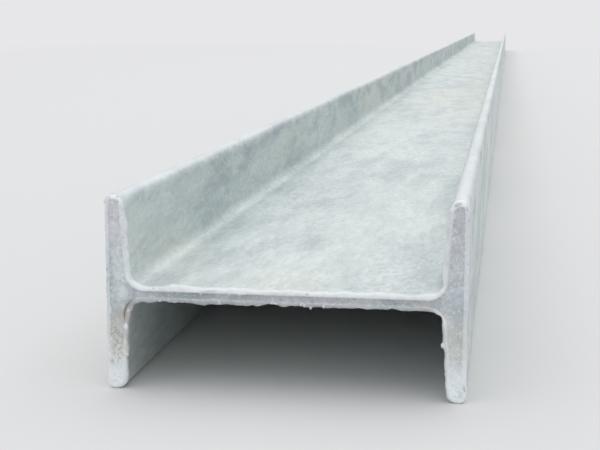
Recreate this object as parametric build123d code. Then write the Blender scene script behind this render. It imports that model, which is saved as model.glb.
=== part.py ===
from build123d import *
import os
from math import radians, tan

# A hot-rolled I-beam as a stock length, lying on the tips of its flanges.
# X runs across the section from flange to flange, Y along the beam, Z up across the flanges.
# The origin is on the floor, under the middle of the beam. All sizes are in millimetres.

# Rolled section
section_depth = 160.0      # over the outer faces of the two flanges
flange_width = 88.0        # from tip to tip of one flange
web_thickness = 6.0
flange_thickness = 9.3     # halfway between the tip and the web, where rolled flanges are gauged
flange_slope = 4.0         # degrees that the inner face leans from the outer face
root_radius = 7.0          # between the web and the inner face of a flange
inner_tip_radius = 4.0     # on the tip, towards the web
outer_tip_radius = 3.0     # on the tip, towards the outside

# Stock
stock_length = 6000.0      # between the two sawn ends

# Worked out from the sizes above
half_depth = section_depth / 2
half_width = flange_width / 2
half_web = web_thickness / 2
half_length = stock_length / 2
overhang = half_width - half_web                     # how far a flange stands out from the web
slope_gain = overhang / 2 * tan(radians(flange_slope))
tip_thickness = flange_thickness - slope_gain
root_thickness = flange_thickness + slope_gain


def section_corners():
    """Corners of a quarter of the section, from the middle of the web to the middle of a flange."""
    return {
        "web_middle": (0, half_web),
        "root": (half_depth - root_thickness, half_web),
        "inner_tip": (half_depth - tip_thickness, half_width),
        "outer_tip": (half_depth, half_width),
        "flange_middle": (half_depth, 0),
        "centre": (0, 0),
    }


def corner_at(sketch, point):
    """The vertex of a sketch that lies at a point."""
    return sketch.vertices().sort_by_distance(Vector(*point))[0]


def quarter_section():
    """One web half and one flange half, with the root fillet and the two rounded tip corners."""
    corners = section_corners()
    outline = make_face(Polyline(*corners.values(), close=True))
    rounded = [("root", root_radius), ("inner_tip", inner_tip_radius), ("outer_tip", outer_tip_radius)]
    for name, radius in rounded:
        outline = fillet(corner_at(outline, corners[name]), radius)
    return outline


def full_section():
    """The quarter mirrored across both middle lines into the whole I."""
    quarter = quarter_section()
    half = quarter + mirror(quarter, about=Plane.YZ)
    return half + mirror(half, about=Plane.XZ)


def i_beam():
    """The section run along the stock length, with its lower flange tips on the floor."""
    cross_plane = Plane(origin=(0, -half_length, half_width), x_dir=(1, 0, 0), z_dir=(0, -1, 0))
    return extrude(cross_plane * full_section(), amount=-stock_length)


beam = i_beam()
beam.label = "i_beam"

os.makedirs("parts", exist_ok=True)
export_step(beam, "parts/i_beam.step")
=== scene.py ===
"""A galvanised steel I-beam as a 6 m stock length, lying on the tips of its flanges.

X runs across the section, Y along the beam and Z up, in metres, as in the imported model.
"""

import logging
import math
import random
from collections.abc import Callable, Iterable
from dataclasses import dataclass, field
from enum import Enum

import bmesh
import bpy
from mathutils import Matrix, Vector
from mathutils.kdtree import KDTree


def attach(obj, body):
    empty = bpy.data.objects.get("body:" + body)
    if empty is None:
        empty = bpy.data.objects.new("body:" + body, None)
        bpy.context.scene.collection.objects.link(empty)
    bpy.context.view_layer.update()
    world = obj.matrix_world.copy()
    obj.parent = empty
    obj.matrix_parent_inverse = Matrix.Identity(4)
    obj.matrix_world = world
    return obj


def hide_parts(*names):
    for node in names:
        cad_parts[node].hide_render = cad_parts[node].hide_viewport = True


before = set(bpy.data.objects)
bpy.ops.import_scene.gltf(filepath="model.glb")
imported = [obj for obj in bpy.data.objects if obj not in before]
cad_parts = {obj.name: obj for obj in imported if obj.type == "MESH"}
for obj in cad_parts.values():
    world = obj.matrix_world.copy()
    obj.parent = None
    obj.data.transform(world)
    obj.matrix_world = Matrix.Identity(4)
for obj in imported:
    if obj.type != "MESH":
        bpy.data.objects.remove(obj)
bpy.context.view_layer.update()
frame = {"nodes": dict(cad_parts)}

log = logging.getLogger("i_beam")

Triple = tuple[float, float, float]
Span = tuple[float, float]
MM = 0.001
SLACK = 0.00002  # metres within which two places count as the same
FACING = 0.99  # how far along an axis the normal of a face that looks that way reaches
SQUARE = 0.9999  # the same, for a face that doesn't lean by even a few degrees


def near(first: float, second: float) -> bool:
    """Whether two lengths are the same, but for rounding."""
    return abs(first - second) < SLACK


def spaced(start: float, end: float, pitch: float) -> list[float]:
    """Places inside a span that divide it evenly.

    Args:
        start: One end of the span.
        end: The other end.
        pitch: About how far apart the places are.

    Returns:
        The places, without the two ends.
    """
    count = max(1, round((end - start) / pitch))
    return [start + (end - start) * step / count for step in range(1, count)]


class Surface(Enum):
    """The finishes on the beam, numbered as its material slots are."""

    ROLLED = 0
    SAWN = 1


class Element(Enum):
    """What a selection in edit mode is made of."""

    VERT = "verts"
    EDGE = "edges"
    FACE = "faces"


class ShaderValue:
    """A shader socket that Python's operators work on, each adding a Math node."""

    def __init__(self, graph: "ShaderGraph", socket: bpy.types.NodeSocket) -> None:
        """Keeps the socket and the graph that it belongs to."""
        self.graph = graph
        self.socket = socket

    def _with(self, operation: str, other: "float | ShaderValue", swap: bool = False) -> "ShaderValue":
        """Joins this value by a Math node to another one, which comes first if they swap."""
        pair = (other, self) if swap else (self, other)
        return self.graph.maths(operation, *pair)

    def __add__(self, other: "float | ShaderValue") -> "ShaderValue":
        """This value plus another."""
        return self._with("ADD", other)

    def __sub__(self, other: "float | ShaderValue") -> "ShaderValue":
        """This value less another."""
        return self._with("SUBTRACT", other)

    def __mul__(self, other: "float | ShaderValue") -> "ShaderValue":
        """This value times another."""
        return self._with("MULTIPLY", other)

    def __rsub__(self, other: float) -> "ShaderValue":
        """A number less this value."""
        return self._with("SUBTRACT", other, swap=True)

    __radd__ = __add__
    __rmul__ = __mul__


ShaderInput = float | Triple | ShaderValue


@dataclass(frozen=True)
class Patch:
    """A round patch round a mark, whole up to one distance from it and faded out at another."""

    mark: Triple
    whole: float
    faded: float


class ShaderGraph:
    """The node tree of a material or a world."""

    def __init__(self, owner: bpy.types.Material | bpy.types.World) -> None:
        """Starts from an empty tree."""
        owner.use_nodes = True
        self.tree = owner.node_tree
        self.tree.nodes.clear()

    def node(
        self,
        kind: str,
        settings: dict[str, object] | None = None,
        inputs: dict[str | int, ShaderInput] | None = None,
        output: str | int = 0,
    ) -> ShaderValue | None:
        """Adds a node.

        Args:
            kind: The node's type.
            settings: Its own settings, set before its sockets.
            inputs: Values or links by socket name, identifier or number.
            output: Which output is wanted.

        Returns:
            That output, or None for a node that ends a tree.
        """
        made = self.tree.nodes.new(kind)
        for name, value in (settings or {}).items():
            setattr(made, name, value)
        for name, value in (inputs or {}).items():
            socket = self._socket(made.inputs, name)
            if isinstance(value, ShaderValue):
                self.tree.links.new(value.socket, socket)
            elif socket.type == "RGBA" and len(value) == 3:
                socket.default_value = (*value, 1.0)
            else:
                socket.default_value = value
        outputs = made.outputs
        return ShaderValue(self, self._socket(outputs, output)) if len(outputs) else None

    @staticmethod
    def _socket(sockets: bpy.types.bpy_prop_collection, name: str | int) -> bpy.types.NodeSocket:
        """Finds a socket.

        Args:
            sockets: A node's inputs or outputs.
            name: Its number, its identifier or its name.

        Returns:
            The socket.
        """
        if isinstance(name, int):
            return sockets[name]
        return next((s for s in sockets if s.identifier == name), None) or sockets[name]

    def maths(self, operation: str, *values: "float | ShaderValue") -> ShaderValue:
        """Adds a Math node on one to three values."""
        return self.node("ShaderNodeMath", {"operation": operation}, dict(enumerate(values)))

    def vectors(self, operation: str, *values: ShaderInput, output: str = "Vector") -> ShaderValue:
        """Adds a Vector Math node on one or two vectors."""
        return self.node("ShaderNodeVectorMath", {"operation": operation}, dict(enumerate(values)), output)

    def clamp(self, value: ShaderValue, low: float, high: float) -> ShaderValue:
        """Brings a span of a value onto 0 to 1, and holds it there.

        Args:
            value: The value.
            low: Where it gives 0.
            high: Where it gives 1, which may be less than low.

        Returns:
            The level.
        """
        return self.node(
            "ShaderNodeMapRange",
            {"clamp": True, "interpolation_type": "SMOOTHSTEP"},
            {"Value": value, "From Min": low, "From Max": high},
        )

    def mix(
        self, factor: ShaderInput, first: ShaderInput, second: ShaderInput, blend: str = "MIX"
    ) -> ShaderValue:
        """Mixes two colours.

        Args:
            factor: How much of the second one shows.
            first: The colour underneath.
            second: The colour on top.
            blend: The way they are mixed.

        Returns:
            The mixed colour.
        """
        return self.node(
            "ShaderNodeMix",
            {"data_type": "RGBA", "blend_type": blend},
            {"Factor_Float": factor, "A_Color": first, "B_Color": second},
            "Result_Color",
        )

    def layers(self, colour: ShaderInput, *coats: tuple[ShaderValue, Triple]) -> ShaderInput:
        """Lays coats of colour over a first one.

        Args:
            colour: The first colour.
            coats: How much of each coat shows, and its colour.

        Returns:
            The colour that is seen.
        """
        for share, coat in coats:
            colour = self.mix(share, colour, coat)
        return colour

    def shade(self, colour: ShaderInput, level: ShaderValue) -> ShaderValue:
        """Multiplies a colour by a grey of a varying level."""
        grey = self.node("ShaderNodeCombineColor", inputs={0: level, 1: level, 2: level})
        return self.mix(1.0, colour, grey, "MULTIPLY")

    def place(self, stretch: Triple = (1.0, 1.0, 1.0), turn: Triple = (0.0, 0.0, 0.0)) -> ShaderValue:
        """The place on the object, in metres.

        Args:
            stretch: What each axis is multiplied by.
            turn: Degrees that the place is turned about each axis.

        Returns:
            The place as a vector.
        """
        raw = self.node("ShaderNodeTexCoord", output="Object")
        angles = tuple(math.radians(angle) for angle in turn)
        return self.node("ShaderNodeMapping", inputs={"Vector": raw, "Rotation": angles, "Scale": stretch})

    def noise(
        self, place: ShaderValue, size: float, detail: float = 3.0, roughness: float = 0.5
    ) -> ShaderValue:
        """A cloudy pattern between 0 and 1.

        Args:
            place: Where it is read.
            size: The size of its largest spots, in metres.
            detail: How many finer patterns lie on it.
            roughness: How strong those are.

        Returns:
            The pattern's level.
        """
        return self.node(
            "ShaderNodeTexNoise",
            inputs={"Vector": place, "Scale": 1.0 / size, "Detail": detail, "Roughness": roughness},
        )

    def cells(self, place: ShaderValue, size: float, output: str = "Color") -> ShaderValue:
        """Irregular cells of a size in metres, each with its own level or the "Distance" from its middle."""
        return self.node("ShaderNodeTexVoronoi", inputs={"Vector": place, "Scale": 1.0 / size}, output=output)

    def axis(self, place: ShaderValue, name: str) -> ShaderValue:
        """One of a vector's three numbers."""
        return self.node("ShaderNodeSeparateXYZ", inputs={"Vector": place}, output=name)

    def distance(self, place: ShaderValue, mark: Triple) -> ShaderValue:
        """How far a place is from a mark."""
        return self.vectors("DISTANCE", place, mark, output="Value")

    def patch(self, place: ShaderValue, patch: Patch) -> ShaderValue:
        """How far a place is inside a patch, from 0 to 1."""
        return self.clamp(self.distance(place, patch.mark), patch.faded, patch.whole)

    def level(self, name: str) -> ShaderValue:
        """A number that is kept on the mesh's vertices."""
        return self.node("ShaderNodeAttribute", {"attribute_name": name}, output="Fac")

    def bump(
        self, height: ShaderValue, depth: float, strength: float = 1.0, below: ShaderValue | None = None
    ) -> ShaderValue:
        """Relief from a height between 0 and 1.

        Args:
            height: The pattern.
            depth: How deep it is, in metres.
            strength: How much of it shows.
            below: The relief that it lies on.

        Returns:
            The normal.
        """
        inputs: dict[str | int, ShaderInput] = {"Height": height, "Distance": depth, "Strength": strength}
        if below is not None:
            inputs["Normal"] = below
        return self.node("ShaderNodeBump", inputs=inputs)


Painted = tuple[ShaderInput, ShaderValue, ShaderValue]


@dataclass(frozen=True)
class Finish:
    """One finish of the zinc or the steel, which makes its material."""

    name: str
    metallic: float
    roughness: float

    def material(self) -> bpy.types.Material:
        """Makes the material.

        Returns:
            The material.
        """
        made = bpy.data.materials.new(self.name)
        graph = ShaderGraph(made)
        colour, rough, relief = self._paint(graph)
        inputs = {"Base Color": colour, "Metallic": self.metallic, "Roughness": rough, "Normal": relief}
        shader = graph.node("ShaderNodeBsdfPrincipled", inputs=inputs)
        graph.node("ShaderNodeOutputMaterial", inputs={"Surface": shader})
        return made

    def _paint(self, graph: ShaderGraph) -> Painted:
        """Adds the finish's own patterns.

        Args:
            graph: The material's graph.

        Returns:
            The colour, the roughness and the relief.
        """
        raise NotImplementedError


@dataclass(frozen=True)
class RolledZinc(Finish):
    """Dull hot-dip zinc on the rolled faces: pale, mottled and frosted with small crystals."""

    name: str = "galvanised_zinc"
    metallic: float = 0.4
    roughness: float = 0.44
    pale: Triple = (0.65, 0.712, 0.692)
    blue_grey: Triple = (0.345, 0.415, 0.445)
    fleck: Triple = (0.36, 0.42, 0.485)
    cream: Triple = (0.735, 0.745, 0.645)
    frost_and_highlight: Triple = (0.82, 0.86, 0.88)
    middle: float = 44.0 * MM
    darker_upper_band: Span = (0.008, 0.036)
    tip_highlight: Span = (0.0412, 0.0434)
    crystal: float = 0.006
    drawn: float = 0.26

    def _paint(self, graph: ShaderGraph) -> Painted:
        """Paints clouds, blotches, crystals and specks, with paler thick zinc near the cuts and a painted
        highlight along the flange tips.

        Args:
            graph: The material's graph.

        Returns:
            The colour, the roughness and the relief.
        """
        rolled = graph.place(stretch=(1.0, self.drawn, 1.0))
        height = graph.axis(graph.place(), "Z") - self.middle
        clouds = graph.noise(rolled, 0.1, 4.0, 0.55)
        blotches = graph.noise(rolled, 0.021, 5.0, 0.6)
        specks = graph.noise(graph.place(stretch=(1.0, 0.6, 1.0)), 0.0034, 3.0, 0.7)
        grit = graph.noise(graph.place(), 0.0012, 2.0, 0.6)
        crystals = graph.cells(rolled, self.crystal)
        frosting = graph.cells(rolled, self.crystal * 0.36)

        dark = graph.clamp(blotches * 0.5 + clouds * 0.3 + specks * 0.2, 0.45, 0.6)
        warm = graph.clamp(graph.noise(rolled, 0.12, 4.0, 0.6), 0.5, 0.68)
        # Darker blue-grey patches in a band above the middle of the section.
        darker_upper_band = graph.clamp(height, *self.darker_upper_band) * graph.clamp(blotches, 0.46, 0.62)
        flecked = graph.clamp(specks, 0.5, 0.36) * graph.clamp(clouds, 0.4, 0.6)
        colour = graph.layers(
            self.pale,
            (dark * 0.42, self.blue_grey),
            (warm * 0.5, self.cream),
            (darker_upper_band * 0.38, self.blue_grey),
            (flecked * 0.5, self.fleck),
            (graph.clamp(specks, 0.54, 0.7) * 0.45, self.frost_and_highlight),
        )
        colour = graph.shade(colour, 0.66 + crystals * 0.14 + frosting * 0.16 + grit * 0.38)
        # Painted highlight: the rounded tips of the flanges are made paler, as if they caught the light; the
        # rims near the cuts are paler for their thicker zinc.
        edge = graph.clamp(graph.maths("ABSOLUTE", height), *self.tip_highlight)
        highlight_and_thick_zinc = graph.maths("MAXIMUM", edge * 0.5, graph.level("rim") * 0.55)
        colour = graph.mix(highlight_and_thick_zinc, colour, self.frost_and_highlight)

        relief = graph.bump(blotches, 0.0008, 0.3)
        relief = graph.bump(specks * 0.7 + frosting * 0.3, 0.0003, 0.5, relief)
        rough = self.roughness - 0.07 + graph.clamp(blotches, 0.35, 0.65) * 0.1 + crystals * 0.08
        return colour, rough, relief


@dataclass(frozen=True)
class SawnEnd(Finish):
    """The sawn end of the section: matte grey, stained, with slanting saw marks and a whiter rim of zinc,
    with a painted highlight on its upper edges.
    """

    name: str = "sawn_end"
    metallic: float = 0.2
    roughness: float = 0.56
    grey: Triple = (0.455, 0.51, 0.535)
    pale: Triple = (0.80, 0.855, 0.875)
    minty: Triple = (0.87, 0.935, 0.95)
    dark: Triple = (0.34, 0.365, 0.40)
    tan: Triple = (0.66, 0.625, 0.545)
    pink: Triple = (0.62, 0.585, 0.625)
    brown: Triple = (0.31, 0.25, 0.17)
    umber: Triple = (0.13, 0.095, 0.06)
    pit: Triple = (0.10, 0.10, 0.11)
    white: Triple = (0.93, 0.955, 0.97)
    speckled: Patch = Patch((-0.0735, -3.0, 0.0235), 0.005, 0.019)
    smeared: Patch = Patch((-0.0705, -3.0, 0.0362), 0.002, 0.008)
    silvered: Patch = Patch((0.0685, -3.0, 0.0385), 0.003, 0.0065)
    smeared_root: Triple = (-0.0627, -3.0, 0.034)
    smear_inside: Span = (0.0072, 0.0082)
    smear_outside: Span = (0.0102, 0.0088)
    smear_waver: float = 0.0015
    drained: Span = (0.027, 0.006)
    on_flange: Span = (0.067, 0.073)
    off_flange: Span = (0.0722, 0.0692)
    web_top: Span = (0.0444, 0.0458)
    tip_top: Span = (0.083, 0.086)
    pit_pitch: float = 0.013
    pit_edge: Span = (0.075, 0.05)
    saw_pitch: float = 0.0031
    saw_angle: float = 48.0
    saw_waver: float = 9.0

    def _paint(self, graph: ShaderGraph) -> Painted:
        """Paints the stained cut with its saw marks and its bright rim, which is thick zinc all round and a
        painted highlight on the upper edges.

        Args:
            graph: The material's graph.

        Returns:
            The colour, the roughness and the relief.
        """
        place = graph.place()
        grain = graph.noise(place, 0.0026, 4.0, 0.8)
        clouds = graph.noise(place, 0.017, 5.0, 0.7)
        saw = self._saw_marks(graph, place)
        rim = graph.clamp(graph.level("rim") + (grain - 0.5) * 0.7, 0.2, 0.9)

        across, up = graph.maths("ABSOLUTE", graph.axis(place, "X")), graph.axis(place, "Z")
        flange = graph.clamp(across, *self.on_flange)
        colour = self._stains(graph, place, clouds)
        colour = graph.shade(colour, 0.68 + grain * 0.34 + saw * 0.06 + flange * 0.25)
        # Painted highlight: the rim is made whiter on the upper edges of the web, its roots and the tips, as
        # if they caught the light from above.
        web = graph.clamp(up, *self.web_top) * graph.clamp(across, *self.off_flange)
        upper_highlight = graph.maths("MAXIMUM", web, graph.clamp(up, *self.tip_top))
        # How white the rim is: thick zinc all round, more on the flanges and the silvered patch, and the
        # painted highlight on the upper edges.
        edge = 0.2 + flange * 0.28 + upper_highlight * 0.6 + graph.patch(place, self.silvered) * 0.5
        colour = graph.mix(graph.maths("MINIMUM", rim * edge, 0.9), colour, self.white)

        relief = graph.bump(saw, 0.0003, 0.35)
        relief = graph.bump(grain * 0.6 + clouds * 0.4, 0.0006, 0.4, relief)
        rough = self.roughness + (grain - 0.5) * 0.25 - rim * 0.14
        return colour, rough, relief

    def _saw_marks(self, graph: ShaderGraph, place: ShaderValue) -> ShaderValue:
        """Slanting lines that the blade left, in patches.

        Args:
            graph: The material's graph.
            place: The place on the object.

        Returns:
            Their level.
        """
        run = graph.axis(graph.place(turn=(0.0, self.saw_angle, 0.0)), "X")
        waver = graph.noise(place, 0.022, 2.0) * self.saw_waver
        saw = graph.maths("SINE", run * (math.tau / self.saw_pitch) + waver) * 0.5 + 0.5
        return saw * graph.clamp(graph.noise(place, 0.03, 2.0), 0.44, 0.62)

    def _stains(self, graph: ShaderGraph, place: ShaderValue, clouds: ShaderValue) -> ShaderInput:
        """The cut's colour, with its soiled, blushed and drained patches, its specks and its smear.

        Args:
            graph: The material's graph.
            place: The place on the object.
            clouds: A cloudy pattern.

        Returns:
            The colour.
        """
        salt = graph.noise(place, 0.0013, 2.0, 0.7)
        soiled = graph.noise(place, 0.011, 5.0, 0.75)
        stained = graph.noise(place, 0.043)
        blushed = graph.noise(graph.place(turn=(90.0, 0.0, 0.0)), 0.06)
        drained = graph.clamp(graph.axis(place, "Z"), *self.drained)
        specks, haze = graph.patch(place, self.speckled), graph.patch(place, self.smeared)
        from_root = graph.distance(place, self.smeared_root) + (soiled - 0.5) * self.smear_waver
        smear = graph.clamp(from_root, *self.smear_inside) * graph.clamp(from_root, *self.smear_outside)
        pits = graph.clamp(graph.cells(place, self.pit_pitch, "Distance"), *self.pit_edge)
        return graph.layers(
            self.grey,
            (graph.clamp(clouds, 0.42, 0.66) * 0.6, self.pale),
            (graph.clamp(stained, 0.52, 0.68) * 0.45, self.tan),
            (graph.clamp(blushed, 0.46, 0.64) * 0.45, self.pink),
            (graph.clamp(soiled, 0.53, 0.7) * 0.6, self.dark),
            (drained * (graph.clamp(clouds, 0.33, 0.53) * 0.4 + 0.5), self.minty),
            (graph.clamp(salt, 0.54, 0.72) * 0.45, self.pale),
            (graph.clamp(salt, 0.46, 0.3) * 0.22, self.dark),
            (specks * 0.38, self.tan),
            (specks * graph.clamp(salt, 0.5, 0.58) * 0.5, self.brown),
            (haze * graph.clamp(soiled, 0.3, 0.5) * 0.35, self.brown),
            (haze * smear * 0.85, self.umber),
            (pits * 0.7, self.pit),
        )


@dataclass(frozen=True)
class BrightZinc(Finish):
    """The bright zinc of the small drips."""

    name: str = "bright_zinc"
    metallic: float = 0.35
    roughness: float = 0.36
    bright: Triple = (0.86, 0.885, 0.905)
    shaded: Triple = (0.64, 0.67, 0.70)

    def _paint(self, graph: ShaderGraph) -> Painted:
        """Paints brighter and duller patches with a fine grain.

        Args:
            graph: The material's graph.

        Returns:
            The colour, the roughness and the relief.
        """
        place = graph.place()
        patches = graph.noise(place, 0.012, 4.0, 0.6)
        grain = graph.noise(place, 0.0018, 3.0, 0.6)
        colour = graph.mix(graph.clamp(patches, 0.4, 0.62), self.shaded, self.bright)
        return colour, self.roughness + (grain - 0.5) * 0.2, graph.bump(grain, 0.0004, 0.6)


class Workpiece:
    """A mesh object that is shaped in edit mode, with its parts picked by their place."""

    def __init__(self, piece: bpy.types.Object) -> None:
        """Keeps the object that is worked on."""
        self.piece = piece

    def __enter__(self) -> "Workpiece":
        """Opens the mesh in edit mode with nothing selected.

        Returns:
            This workpiece.
        """
        only(self.piece)
        bpy.ops.object.mode_set(mode="EDIT")
        bpy.ops.mesh.select_all(action="DESELECT")
        return self

    def __exit__(self, *problem: object) -> None:
        """Goes back to object mode."""
        bpy.ops.object.mode_set(mode="OBJECT")

    def pick(self, element: Element, wanted: Callable[[object], bool]) -> int:
        """Selects the parts of the mesh that pass a test, and nothing else.

        Args:
            element: Whether vertices, edges or faces are picked.
            wanted: The test.

        Returns:
            How many were picked.
        """
        bpy.ops.mesh.select_mode(type=element.name)
        bpy.ops.mesh.select_all(action="DESELECT")
        mesh = bmesh.from_edit_mesh(self.piece.data)
        found = [item for item in getattr(mesh, element.value) if wanted(item)]
        for item in found:
            item.select_set(True)
        mesh.select_flush_mode()
        bmesh.update_edit_mesh(self.piece.data)
        return len(found)

    def extrude(self, way: Triple) -> None:
        """Extrudes what is selected."""
        bpy.ops.mesh.extrude_region_move(TRANSFORM_OT_translate={"value": way})

    def bevel(self, radius: float, segments: int) -> None:
        """Rounds the selected edges, with the setback measured along their faces."""
        bpy.ops.mesh.bevel(
            affect="EDGES", offset_type="OFFSET", offset=radius, segments=segments, clamp_overlap=False
        )

    def slice(self, at: Triple, normal: Triple) -> None:
        """Cuts the selected faces along a plane, and keeps both sides."""
        bpy.ops.mesh.bisect(plane_co=at, plane_no=normal)

    def weigh(self, level: float) -> None:
        """Puts the selected vertices into the active vertex group, or changes their weight in it."""
        bpy.context.tool_settings.vertex_group_weight = level
        bpy.ops.object.vertex_group_assign()


def only(piece: bpy.types.Object) -> None:
    """Makes one object the only selected one, and the active one.

    Args:
        piece: The object.
    """
    bpy.ops.object.select_all(action="DESELECT")
    piece.select_set(True)
    bpy.context.view_layer.objects.active = piece


def settle(piece: bpy.types.Object) -> None:
    """Puts an object's place, turn and size into its mesh."""
    only(piece)
    bpy.ops.object.transform_apply(location=True, rotation=True, scale=True)


@dataclass(frozen=True)
class Section:
    """The rolled section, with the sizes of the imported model."""

    depth: float = 160.0 * MM
    flange_width: float = 88.0 * MM
    web: float = 6.0 * MM
    flange: float = 9.3 * MM
    slope: float = 4.0
    root_radius: float = 7.0 * MM
    inner_tip_radius: float = 4.0 * MM
    outer_tip_radius: float = 3.0 * MM

    @property
    def half_depth(self) -> float:
        """From the middle to the outer face of a flange."""
        return self.depth / 2

    @property
    def half_width(self) -> float:
        """From the middle to the tip of a flange."""
        return self.flange_width / 2

    @property
    def half_web(self) -> float:
        """Half the thickness of the web."""
        return self.web / 2

    @property
    def overhang(self) -> float:
        """How far a flange stands out from the web."""
        return self.half_width - self.half_web

    @property
    def taper(self) -> float:
        """How much thinner a flange is at its tip than at the web."""
        return self.overhang * math.tan(math.radians(self.slope))

    @property
    def root_thickness(self) -> float:
        """A flange's thickness at the web."""
        return self.flange + self.taper / 2

    @property
    def root_x(self) -> float:
        """From the middle to the corner between web and flange."""
        return self.half_depth - self.root_thickness

    def setback(self, radius: float, corner: float) -> float:
        """How far from a corner of some degrees a rounding with a radius starts, along either face."""
        return radius / math.tan(math.radians(corner / 2))

    @property
    def root_setback(self) -> float:
        """Where the root fillets start."""
        return self.setback(self.root_radius, 90.0 + self.slope)

    @property
    def inner_tip_setback(self) -> float:
        """Where the rounding of the inner tip starts."""
        return self.setback(self.inner_tip_radius, 90.0 - self.slope)


@dataclass(frozen=True)
class Unfolding:
    """The beam's own map: its rolled faces as lengths side by side, and its two cuts larger beside them."""

    name: str = "OFBake"
    lengths: int = 3
    spare: float = 50.0 * MM
    gutter: float = 0.004
    cuts_width: float = 0.275

    def lay(self, piece: bpy.types.Object, beam: "Beam") -> None:
        """Adds the map, while the faces are still regular.

        Args:
            piece: The beam's object.
            beam: Its sizes.
        """
        mesh = piece.data
        girth, around = self._around(mesh, beam)
        corners = []
        for face in mesh.polygons:
            places = [mesh.vertices[index].co for index in face.vertices]
            if beam.half_length - abs(face.center.y) < beam.rim_radius:
                corners += [self._on_cut(place, face.center.y > 0.0, beam.section) for place in places]
                continue
            band = min(int((face.center.y + beam.half_length) / beam.length * self.lengths), self.lengths - 1)
            turns = [around[index] for index in face.vertices]
            if max(turns) - min(turns) > girth / 2:
                turns = [turn + girth if turn < girth / 2 else turn for turn in turns]
            start = band * beam.length / self.lengths - beam.half_length
            corners += [
                self._on_band(place.y - start, turn / girth, band, beam.length / self.lengths)
                for place, turn in zip(places, turns, strict=True)
            ]
        layer = mesh.uv_layers.new(name=self.name)
        layer.data.foreach_set("uv", [number for corner in corners for number in corner])

    def _around(self, mesh: bpy.types.Mesh, beam: "Beam") -> tuple[float, list[float]]:
        """Measures round the section.

        Args:
            mesh: The beam's mesh.
            beam: Its sizes.

        Returns:
            The section's girth, and each vertex's distance round it from the middle of the web's underside.
        """
        row = beam.first_row - beam.half_length
        ring = {vert.index for vert in mesh.vertices if near(vert.co.y, row)}
        beside: dict[int, list[int]] = {index: [] for index in ring}
        for edge in mesh.edges:
            first, second = edge.vertices
            if first in ring and second in ring:
                beside[first].append(second)
                beside[second].append(first)
        under = Vector((0.0, row, beam.section.half_width - beam.section.half_web))
        here = min(ring, key=lambda index: (mesh.vertices[index].co - under).length)
        tree, distances, before = KDTree(len(ring)), [], None
        girth = 0.0
        for number in range(len(ring)):
            place = mesh.vertices[here].co
            tree.insert((place.x, 0.0, place.z), number)
            distances.append(girth)
            following = next(index for index in beside[here] if index != before)
            girth += (mesh.vertices[following].co - place).length
            here, before = following, here
        tree.balance()
        return girth, [distances[tree.find((vert.co.x, 0.0, vert.co.z))[1]] for vert in mesh.vertices]

    def _on_band(self, along: float, turn: float, band: int, length: float) -> tuple[float, float]:
        """A corner of a rolled face on the map.

        Args:
            along: How far along its length it lies, in metres.
            turn: How far round the section it lies, from 0 to 1.
            band: Which length it is on.
            length: How long each of them is.

        Returns:
            The place on the map.
        """
        height = 1.0 / self.lengths
        width = 1.0 - self.cuts_width - 2 * self.gutter
        reach = (along + self.spare) / (length + 2 * self.spare)
        return self.gutter + reach * width, band * height + self.gutter + turn * (height - 3 * self.gutter)

    def _on_cut(self, place: Vector, far: bool, section: Section) -> tuple[float, float]:
        """A corner of a sawn end on the map.

        Args:
            place: Where it is on the beam.
            far: Whether it is on the far end.
            section: The section's sizes.

        Returns:
            The place on the map.
        """
        scale = (self.cuts_width - 2 * self.gutter) / section.flange_width
        left, low = 1.0 - self.cuts_width + self.gutter, 0.5 * far + self.gutter
        return left + place.z * scale, low + (place.x + section.half_depth) * scale


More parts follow.
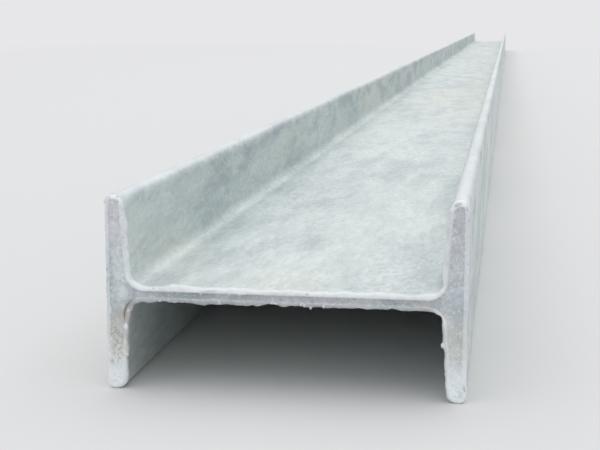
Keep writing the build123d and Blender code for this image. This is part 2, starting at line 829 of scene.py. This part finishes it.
@dataclass
class Beam:
    """The whole beam: web, flanges and the two sawn ends with their rims of zinc."""

    section: Section = field(default_factory=Section)
    length: float = 6000.0 * MM
    name: str = "rolled_beam"
    column_pitch: float = 1.45 * MM
    first_row: float = 1.6 * MM
    row_growth: float = 1.19
    longest_row: float = 85.0 * MM
    rim_radius: float = 1.25 * MM
    rim_segments: int = 3
    rim_corners: int = 20  # more corners than a face of the rim has, and fewer than the cut
    rim_insets: tuple[Triple, ...] = (
        (0.25 * MM, 0.0, 0.7),
        (0.5 * MM, 0.1 * MM, 0.2),
        (0.4 * MM, 0.0, 0.0),
    )
    rim_reach: float = 2.5 * MM
    rim_slants: Span = (0.3, 0.9)
    ragged_size: float = 6.5 * MM
    ragged_reach: float = 5.0 * MM
    ragged_depth: float = 2.9 * MM
    ragged_level: float = 0.31
    ragged_outside: float = 0.4
    least_ragged: float = 0.02
    flush_below: float = 4.0 * MM
    bare_below: float = 6.0 * MM
    flat_angle: float = 0.5
    smooth_angle: float = 40.0

    @property
    def half_length(self) -> float:
        """From the middle to a sawn end."""
        return self.length / 2

    def build(self, finishes: Iterable[bpy.types.Material]) -> bpy.types.Object:
        """Models the beam.

        Args:
            finishes: The materials, in the order of Surface.

        Returns:
            The finished object.
        """
        piece = self._web()
        with Workpiece(piece) as work:
            self._flanges(work)
            self._roundings(work)
            self._columns(work)
            self._rows(work)
            self._ends(work)
        self._mark_finishes(piece, finishes)
        Unfolding().lay(piece, self)
        self._ragged_edges(piece)
        only(piece)
        bpy.ops.object.shade_smooth_by_angle(angle=math.radians(self.smooth_angle))
        return piece

    def _web(self) -> bpy.types.Object:
        """Starts the beam as its web, between the flanges.

        Returns:
            The object.
        """
        section = self.section
        bpy.ops.object.select_all(action="DESELECT")
        bpy.ops.mesh.primitive_cube_add(
            size=1.0,
            location=(0.0, 0.0, section.half_width),
            scale=(2 * section.root_x, self.length, section.web),
        )
        piece = bpy.context.object
        piece.name = piece.data.name = self.name
        settle(piece)
        return piece

    def _height(self, place: Vector) -> float:
        """A place's height over the middle of the web."""
        return place.z - self.section.half_width

    def _flanges(self, work: Workpiece) -> None:
        """Draws both flanges out of the web, and tapers their inner faces.

        Args:
            work: The beam in edit mode.
        """
        section = self.section
        for side in (-1, 1):
            work.pick(Element.FACE, lambda face: face.normal.x * side > FACING)
            work.extrude((side * section.root_thickness, 0.0, 0.0))
        for side in (-1, 1):
            work.pick(
                Element.FACE,
                lambda face: face.normal.z * side > FACING
                and abs(face.calc_center_median().x) > section.root_x,
            )
            work.extrude((0.0, 0.0, side * section.overhang))
        for side in (-1, 1):
            work.pick(
                Element.VERT,
                lambda vert: near(vert.co.x, side * section.root_x)
                and near(abs(self._height(vert.co)), section.half_width),
            )
            bpy.ops.transform.translate(value=(side * section.taper, 0.0, 0.0))
        bpy.ops.mesh.select_all(action="SELECT")
        bpy.ops.mesh.dissolve_limited(angle_limit=math.radians(self.flat_angle))

    def _roundings(self, work: Workpiece) -> None:
        """Rounds the roots and both corners of each tip.

        Args:
            work: The beam in edit mode.
        """
        section = self.section
        corners = (
            (section.root_x, section.half_web, section.root_setback, 12),
            (section.root_x + section.taper, section.half_width, section.inner_tip_setback, 8),
            (section.half_depth, section.half_width, section.outer_tip_radius, 6),
        )
        for x, height, setback, segments in corners:
            work.pick(
                Element.EDGE,
                lambda edge: edge.calc_length() > self.half_length
                and near(abs(edge.verts[0].co.x), x)
                and near(abs(self._height(edge.verts[0].co)), height),
            )
            work.bevel(setback, segments)

    def _columns(self, work: Workpiece) -> None:
        """Divides the flat faces into narrow strips along the beam.

        Args:
            work: The beam in edit mode.
        """
        section = self.section
        web_flat = section.root_x - section.root_setback
        low, high = section.half_web + section.root_setback, section.half_width - section.inner_tip_setback
        middle = section.half_width
        for x in spaced(-web_flat, web_flat, self.column_pitch):
            work.pick(Element.FACE, lambda face: abs(face.normal.z) > FACING)
            work.slice((x, 0.0, 0.0), (1.0, 0.0, 0.0))
        for side in (-1, 1):
            for height in spaced(low, high, self.column_pitch):
                work.pick(Element.FACE, lambda face: abs(face.normal.x) > FACING)
                work.slice((0.0, 0.0, middle + side * height), (0.0, 0.0, 1.0))
        for height in [-low, *spaced(-low, low, self.column_pitch), low]:
            work.pick(Element.FACE, lambda face: abs(face.normal.x) > SQUARE)
            work.slice((0.0, 0.0, middle + height), (0.0, 0.0, 1.0))

    def _rows(self, work: Workpiece) -> None:
        """Divides the beam across, and more finely towards its ends.

        Args:
            work: The beam in edit mode.
        """
        gap, place = self.first_row, self.half_length - self.first_row
        while place > gap / 2:
            for side in (-1, 1):
                bpy.ops.mesh.select_all(action="SELECT")
                work.slice((0.0, side * place, 0.0), (0.0, 1.0, 0.0))
            gap = min(gap * self.row_growth, self.longest_row)
            place -= gap

    def _ends(self, work: Workpiece) -> None:
        """Rounds the sawn edges, and sinks the cut a little below its rim of zinc, which is weighed.

        Args:
            work: The beam in edit mode.
        """
        bpy.ops.object.vertex_group_add()
        work.pick(
            Element.EDGE,
            lambda edge: all(near(abs(vert.co.y), self.half_length) for vert in edge.verts)
            and any(abs(face.normal.y) < FACING for face in edge.link_faces),
        )
        work.bevel(self.rim_radius, self.rim_segments)
        work.weigh(1.0)
        for side in (-1, 1):
            work.pick(
                Element.FACE,
                lambda face: face.normal.y * side > FACING and len(face.verts) > self.rim_corners,
            )
            for inward, down, level in self.rim_insets:
                bpy.ops.mesh.inset(thickness=inward, depth=-down)
                work.weigh(level)

    def _ragged_edges(self, piece: bpy.types.Object) -> None:
        """Makes the zinc along the sawn edges uneven.

        Args:
            piece: The beam, with its finishes marked.
        """
        group = piece.vertex_groups.new(name="ragged")
        for vert, rim in zip(piece.data.vertices, self._rim_levels(piece), strict=True):
            from_end = self.half_length - abs(vert.co.y)
            on_cut = from_end < self.rim_radius - SLACK
            weight = rim if on_cut else math.exp(-(from_end - self.rim_radius) / self.ragged_reach)
            if abs(vert.co.x) > self.section.half_depth - self.rim_radius - SLACK:
                weight *= self.ragged_outside
            weight *= min(1.0, vert.co.z / self.flush_below)
            if weight > self.least_ragged:
                group.add([vert.index], weight, "REPLACE")
        clouds = bpy.data.textures.new("ragged_zinc", type="CLOUDS")
        clouds.noise_scale = self.ragged_size
        clouds.noise_depth = 2
        only(piece)
        bpy.ops.object.modifier_add(type="DISPLACE")
        ragged = piece.modifiers[-1]
        ragged.texture = clouds
        ragged.texture_coords = "LOCAL"
        ragged.vertex_group = group.name
        ragged.strength = self.ragged_depth
        ragged.mid_level = self.ragged_level
        bpy.ops.object.modifier_apply(modifier=ragged.name)
        piece.vertex_groups.clear()

    def _mark_finishes(self, piece: bpy.types.Object, finishes: Iterable[bpy.types.Material]) -> None:
        """Gives the rolled faces and the cuts their finishes, while they are still regular.

        Args:
            piece: The beam.
            finishes: The materials, in the order of Surface.
        """
        for finish in finishes:
            piece.data.materials.append(finish)
        for face in piece.data.polygons:
            from_end = self.half_length - abs(face.center.y)
            face.material_index = (Surface.SAWN if from_end < self.rim_radius else Surface.ROLLED).value
        rim = piece.data.attributes.new("rim", "FLOAT", "POINT")
        rim.data.foreach_set("value", self._rim_levels(piece))

    def _rim_levels(self, piece: bpy.types.Object) -> list[float]:
        """How much each vertex belongs to the zinc rims.

        Args:
            piece: The beam, with the cuts' vertices weighed.

        Returns:
            A level from 0 to 1 for each vertex, which on the rolled faces falls away from the end.
        """
        levels = []
        for vert in piece.data.vertices:
            beyond = self.half_length - abs(vert.co.y) - self.rim_radius
            marked = max((group.weight for group in vert.groups), default=0.0)
            levels.append(max(0.0, 1.0 - beyond / self.rim_reach) if beyond > SLACK else marked)
        return levels

    def dress(self, piece: bpy.types.Object) -> None:
        """Puts the beam in the place of its solid.

        Args:
            piece: The beam.
        """
        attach(piece, "root")
        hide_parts("i_beam")

    def rim_points(self, piece: bpy.types.Object) -> list[tuple[Vector, Vector]]:
        """The middle of the rounded rims round both cuts, clear of the floor.

        Args:
            piece: The finished beam.

        Returns:
            Each vertex's place, and the way out of the section there.
        """
        least, most = self.rim_slants
        return [
            (vert.co.copy(), Vector((vert.normal.x, 0.0, vert.normal.z)).normalized())
            for vert in piece.data.vertices
            if abs(self.half_length - abs(vert.co.y)) < self.rim_radius
            and least < abs(vert.normal.y) < most
            and vert.co.z > self.bare_below
        ]


class Drip(Enum):
    """The shapes that zinc sets in: its length along the rim, depth and height, for its size."""

    BEAD = (1.1, 0.8, 0.8)
    RIDGE = (2.6, 0.7, 0.6)
    TEAR = (1.1, 0.8, 1.0)
    BLOB = (1.9, 1.3, 1.1)
    CAP = (2.0, 0.9, 0.9)


@dataclass
class ZincDrips:
    """Beads, ridges and tears of zinc that set along the sawn edges as the beam drained."""

    beam: Beam
    seed: int = 21
    name: str = "zinc_drips"
    counts: tuple[tuple[Drip, int], ...] = (
        (Drip.BEAD, 60),
        (Drip.RIDGE, 60),
        (Drip.TEAR, 8),
        (Drip.BLOB, 10),
        (Drip.CAP, 22),
    )
    seen: tuple[tuple[Drip, float, float, float], ...] = (
        (Drip.BLOB, -70.5 * MM, 29.0 * MM, 1.0 * MM),
        (Drip.CAP, -79.0 * MM, 86.5 * MM, 0.9 * MM),
        (Drip.CAP, 78.5 * MM, 86.5 * MM, 0.8 * MM),
    )
    sizes: Span = (0.35 * MM, 0.85 * MM)
    stretches: Span = (0.8, 1.25)
    askew: float = 0.15
    sunk: float = 0.3
    point_below: float = -0.7
    point_width: float = 0.6
    point_reach: float = 0.35
    under: float = -0.6
    aside: float = 0.8
    blob_above: float = 6.0 * MM
    cap_band: float = 4.0 * MM

    def _drop(self) -> bpy.types.Object:
        """Models one drop of unit size, a little pointed below.

        Returns:
            The object.
        """
        bpy.ops.object.select_all(action="DESELECT")
        bpy.ops.mesh.primitive_uv_sphere_add(segments=8, ring_count=6, radius=1.0)
        drop = bpy.context.object
        with Workpiece(drop) as work:
            work.pick(Element.VERT, lambda vert: vert.co.z < self.point_below)
            bpy.ops.transform.resize(value=(self.point_width, self.point_width, 1.0))
            bpy.ops.transform.translate(value=(0.0, 0.0, -self.point_reach))
        bpy.ops.object.shade_smooth()
        return drop

    def build(self, rim: list[tuple[Vector, Vector]]) -> bpy.types.Object:
        """Sets the drops along the rims.

        Args:
            rim: Places on the rims, each with the way out of the section.

        Returns:
            All of them as one object.
        """
        chance = random.Random(self.seed)
        drop = self._drop()
        drops = []
        for kind, count in self.counts:
            spots = [spot for spot in rim if self._suits(kind, *spot)]
            for spot in chance.sample(spots, count):
                drops.append(self._set(drop, kind, spot, chance.uniform(*self.sizes), chance))
        for kind, x, z, size in self.seen:
            there = Vector((x, -self.beam.half_length, z))
            spot = min(rim, key=lambda spot: (spot[0] - there).length)
            drops.append(self._set(drop, kind, spot, size, chance))
        bpy.data.objects.remove(drop)
        only(drops[0])
        for copy in drops:
            copy.select_set(True)
        bpy.ops.object.join()
        piece = bpy.context.object
        piece.name = piece.data.name = self.name
        settle(piece)
        return piece

    def _set(
        self,
        drop: bpy.types.Object,
        kind: Drip,
        spot: tuple[Vector, Vector],
        size: float,
        chance: random.Random,
    ) -> bpy.types.Object:
        """Sets one drop on a rim.

        Args:
            drop: The drop of unit size.
            kind: Its shape.
            spot: Its place, and the way out of the section there.
            size: Its size, in metres.
            chance: What varies it.

        Returns:
            The drop.
        """
        place, outward = spot
        copy = drop.copy()
        copy.data = drop.data.copy()
        bpy.context.collection.objects.link(copy)
        copy.location = place - outward * size * self.sunk
        copy.scale = [size * stretch * chance.uniform(*self.stretches) for stretch in kind.value]
        # Tears hang, and the rest lie along the rim.
        lean = 0.0 if kind is Drip.TEAR else math.atan2(outward.x, outward.z)
        copy.rotation_euler.y = lean + chance.uniform(-self.askew, self.askew)
        return copy

    def _suits(self, kind: Drip, place: Vector, outward: Vector) -> bool:
        """Whether zinc sets in a shape at a place on the rims.

        Args:
            kind: The shape.
            place: The place.
            outward: The way out of the section there.

        Returns:
            Tears hang below, blobs sit on the inner edges of the flanges and caps on the tips.
        """
        middle = self.beam.section.half_width
        height = abs(place.z - middle)
        if kind is Drip.TEAR:
            return outward.z < self.under and height < middle / 2
        if kind is Drip.BLOB:
            return outward.x * place.x < 0.0 and abs(outward.z) < self.aside and height > self.blob_above
        if kind is Drip.CAP:
            return height > middle - self.cap_band
        return True

    def dress(self, piece: bpy.types.Object, finish: bpy.types.Material) -> None:
        """Gives the drops their finish.

        Args:
            piece: The drops' object.
            finish: Its material.
        """
        piece.data.materials.clear()
        piece.data.materials.append(finish)
        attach(piece, "root")


@dataclass
class StudioFloor:
    """The plain pale floor that the beam lies on, which fades into the backdrop far away."""

    size: float = 160.0
    colour: Triple = (0.83, 0.822, 0.812)
    roughness: float = 0.9
    gloss: float = 0.1
    kept: Triple = (0.7, 3.3, 0.0)
    fade: float = 2.4

    def build(self, backdrop: Triple) -> None:
        """Lays the floor.

        Args:
            backdrop: The colour that the camera sees round it.
        """
        bpy.ops.object.select_all(action="DESELECT")
        bpy.ops.mesh.primitive_plane_add(size=self.size)
        floor = bpy.context.object
        floor.name = "floor"
        made = bpy.data.materials.new("pale_floor")
        graph = ShaderGraph(made)
        lit = graph.node(
            "ShaderNodeBsdfPrincipled",
            inputs={"Base Color": self.colour, "Roughness": self.roughness, "Specular IOR Level": self.gloss},
        )
        far = graph.node("ShaderNodeEmission", inputs={"Color": backdrop, "Strength": 1.0})
        seen = graph.node("ShaderNodeLightPath", output="Is Camera Ray")
        factor = graph.clamp(self._away(graph), 0.0, self.fade) * seen
        mixed = graph.node("ShaderNodeMixShader", inputs={"Fac": factor, 1: lit, 2: far})
        graph.node("ShaderNodeOutputMaterial", inputs={"Surface": mixed})
        floor.data.materials.append(made)

    def _away(self, graph: ShaderGraph) -> ShaderValue:
        """How far a place lies outside the patch of floor that keeps its own shading.

        Args:
            graph: The material's graph.

        Returns:
            The distance.
        """
        beyond = graph.vectors("SUBTRACT", graph.vectors("ABSOLUTE", graph.place()), self.kept)
        outside = graph.vectors("MAXIMUM", beyond, (0.0, 0.0, 0.0))
        return graph.vectors("LENGTH", outside, output="Value")


@dataclass
class StudioLight:
    """An even pale surround and one large soft lamp overhead."""

    fill: Triple = (0.655, 0.67, 0.695)
    shown: Triple = (0.80, 0.80, 0.815)
    lamp_size: Span = (6.0, 17.0)
    lamp_place: Triple = (0.0, 1.6, 4.0)
    lamp_power: float = 165.0

    def build(self) -> None:
        """Sets the world and hangs the lamp."""
        world = bpy.data.worlds.new("studio")
        graph = ShaderGraph(world)
        rays = ("Is Camera Ray", "Is Glossy Ray", "Is Transmission Ray")
        camera, glossy, through = (graph.node("ShaderNodeLightPath", output=ray) for ray in rays)
        seen = graph.maths("MINIMUM", camera + glossy + through, 1.0)
        colour = graph.mix(seen, self.fill, self.shown)
        background = graph.node("ShaderNodeBackground", inputs={"Color": colour, "Strength": 1.0})
        graph.node("ShaderNodeOutputWorld", inputs={"Surface": background})
        bpy.context.scene.world = world
        bpy.ops.object.light_add(type="AREA", location=self.lamp_place)
        lamp = bpy.context.object
        lamp.name = "overhead"
        lamp.data.shape = "RECTANGLE"
        lamp.data.size, lamp.data.size_y = self.lamp_size
        lamp.data.energy = self.lamp_power


@dataclass
class PhotoCamera:
    """The camera, near the end of the beam and above it to the right, as in the photograph."""

    place: Triple = (0.0944, -3.5426, 0.1655)
    frame: tuple[int, int] = (600, 450)
    focal_pixels: float = 1289.0
    vanishing: Span = (509.0, 17.0)
    sensor: float = 36.0
    clip: Span = (0.01, 400.0)

    def build(self) -> None:
        """Points the camera so that the beam runs to its vanishing point in the frame."""
        across = (self.vanishing[0] - self.frame[0] / 2) / self.focal_pixels
        up = (self.frame[1] / 2 - self.vanishing[1]) / self.focal_pixels
        pitch = math.atan(up)
        yaw = math.atan(across * math.cos(pitch))
        bpy.ops.object.camera_add(location=self.place, rotation=(math.pi / 2 - pitch, 0.0, yaw))
        camera = bpy.context.object
        camera.name = "photo_camera"
        camera.data.sensor_width = self.sensor
        camera.data.lens = self.focal_pixels / self.frame[0] * self.sensor
        camera.data.clip_start, camera.data.clip_end = self.clip
        bpy.context.scene.camera = camera


def main() -> None:
    """Builds the beam, its setting, the light and the camera."""
    logging.basicConfig(level=logging.INFO, format="%(name)s: %(message)s")
    bpy.context.scene.view_settings.view_transform = "Standard"
    PhotoCamera().build()
    light = StudioLight()
    light.build()
    StudioFloor().build(light.shown)
    zinc, sawn, bright = RolledZinc().material(), SawnEnd().material(), BrightZinc().material()
    beam = Beam()
    piece = beam.build((zinc, sawn))
    beam.dress(piece)
    log.info("%s: %d faces", piece.name, len(piece.data.polygons))
    drips = ZincDrips(beam)
    beads = drips.build(beam.rim_points(piece))
    drips.dress(beads, bright)
    log.info("%s: %d faces", beads.name, len(beads.data.polygons))


if __name__ == "__main__":
    main()
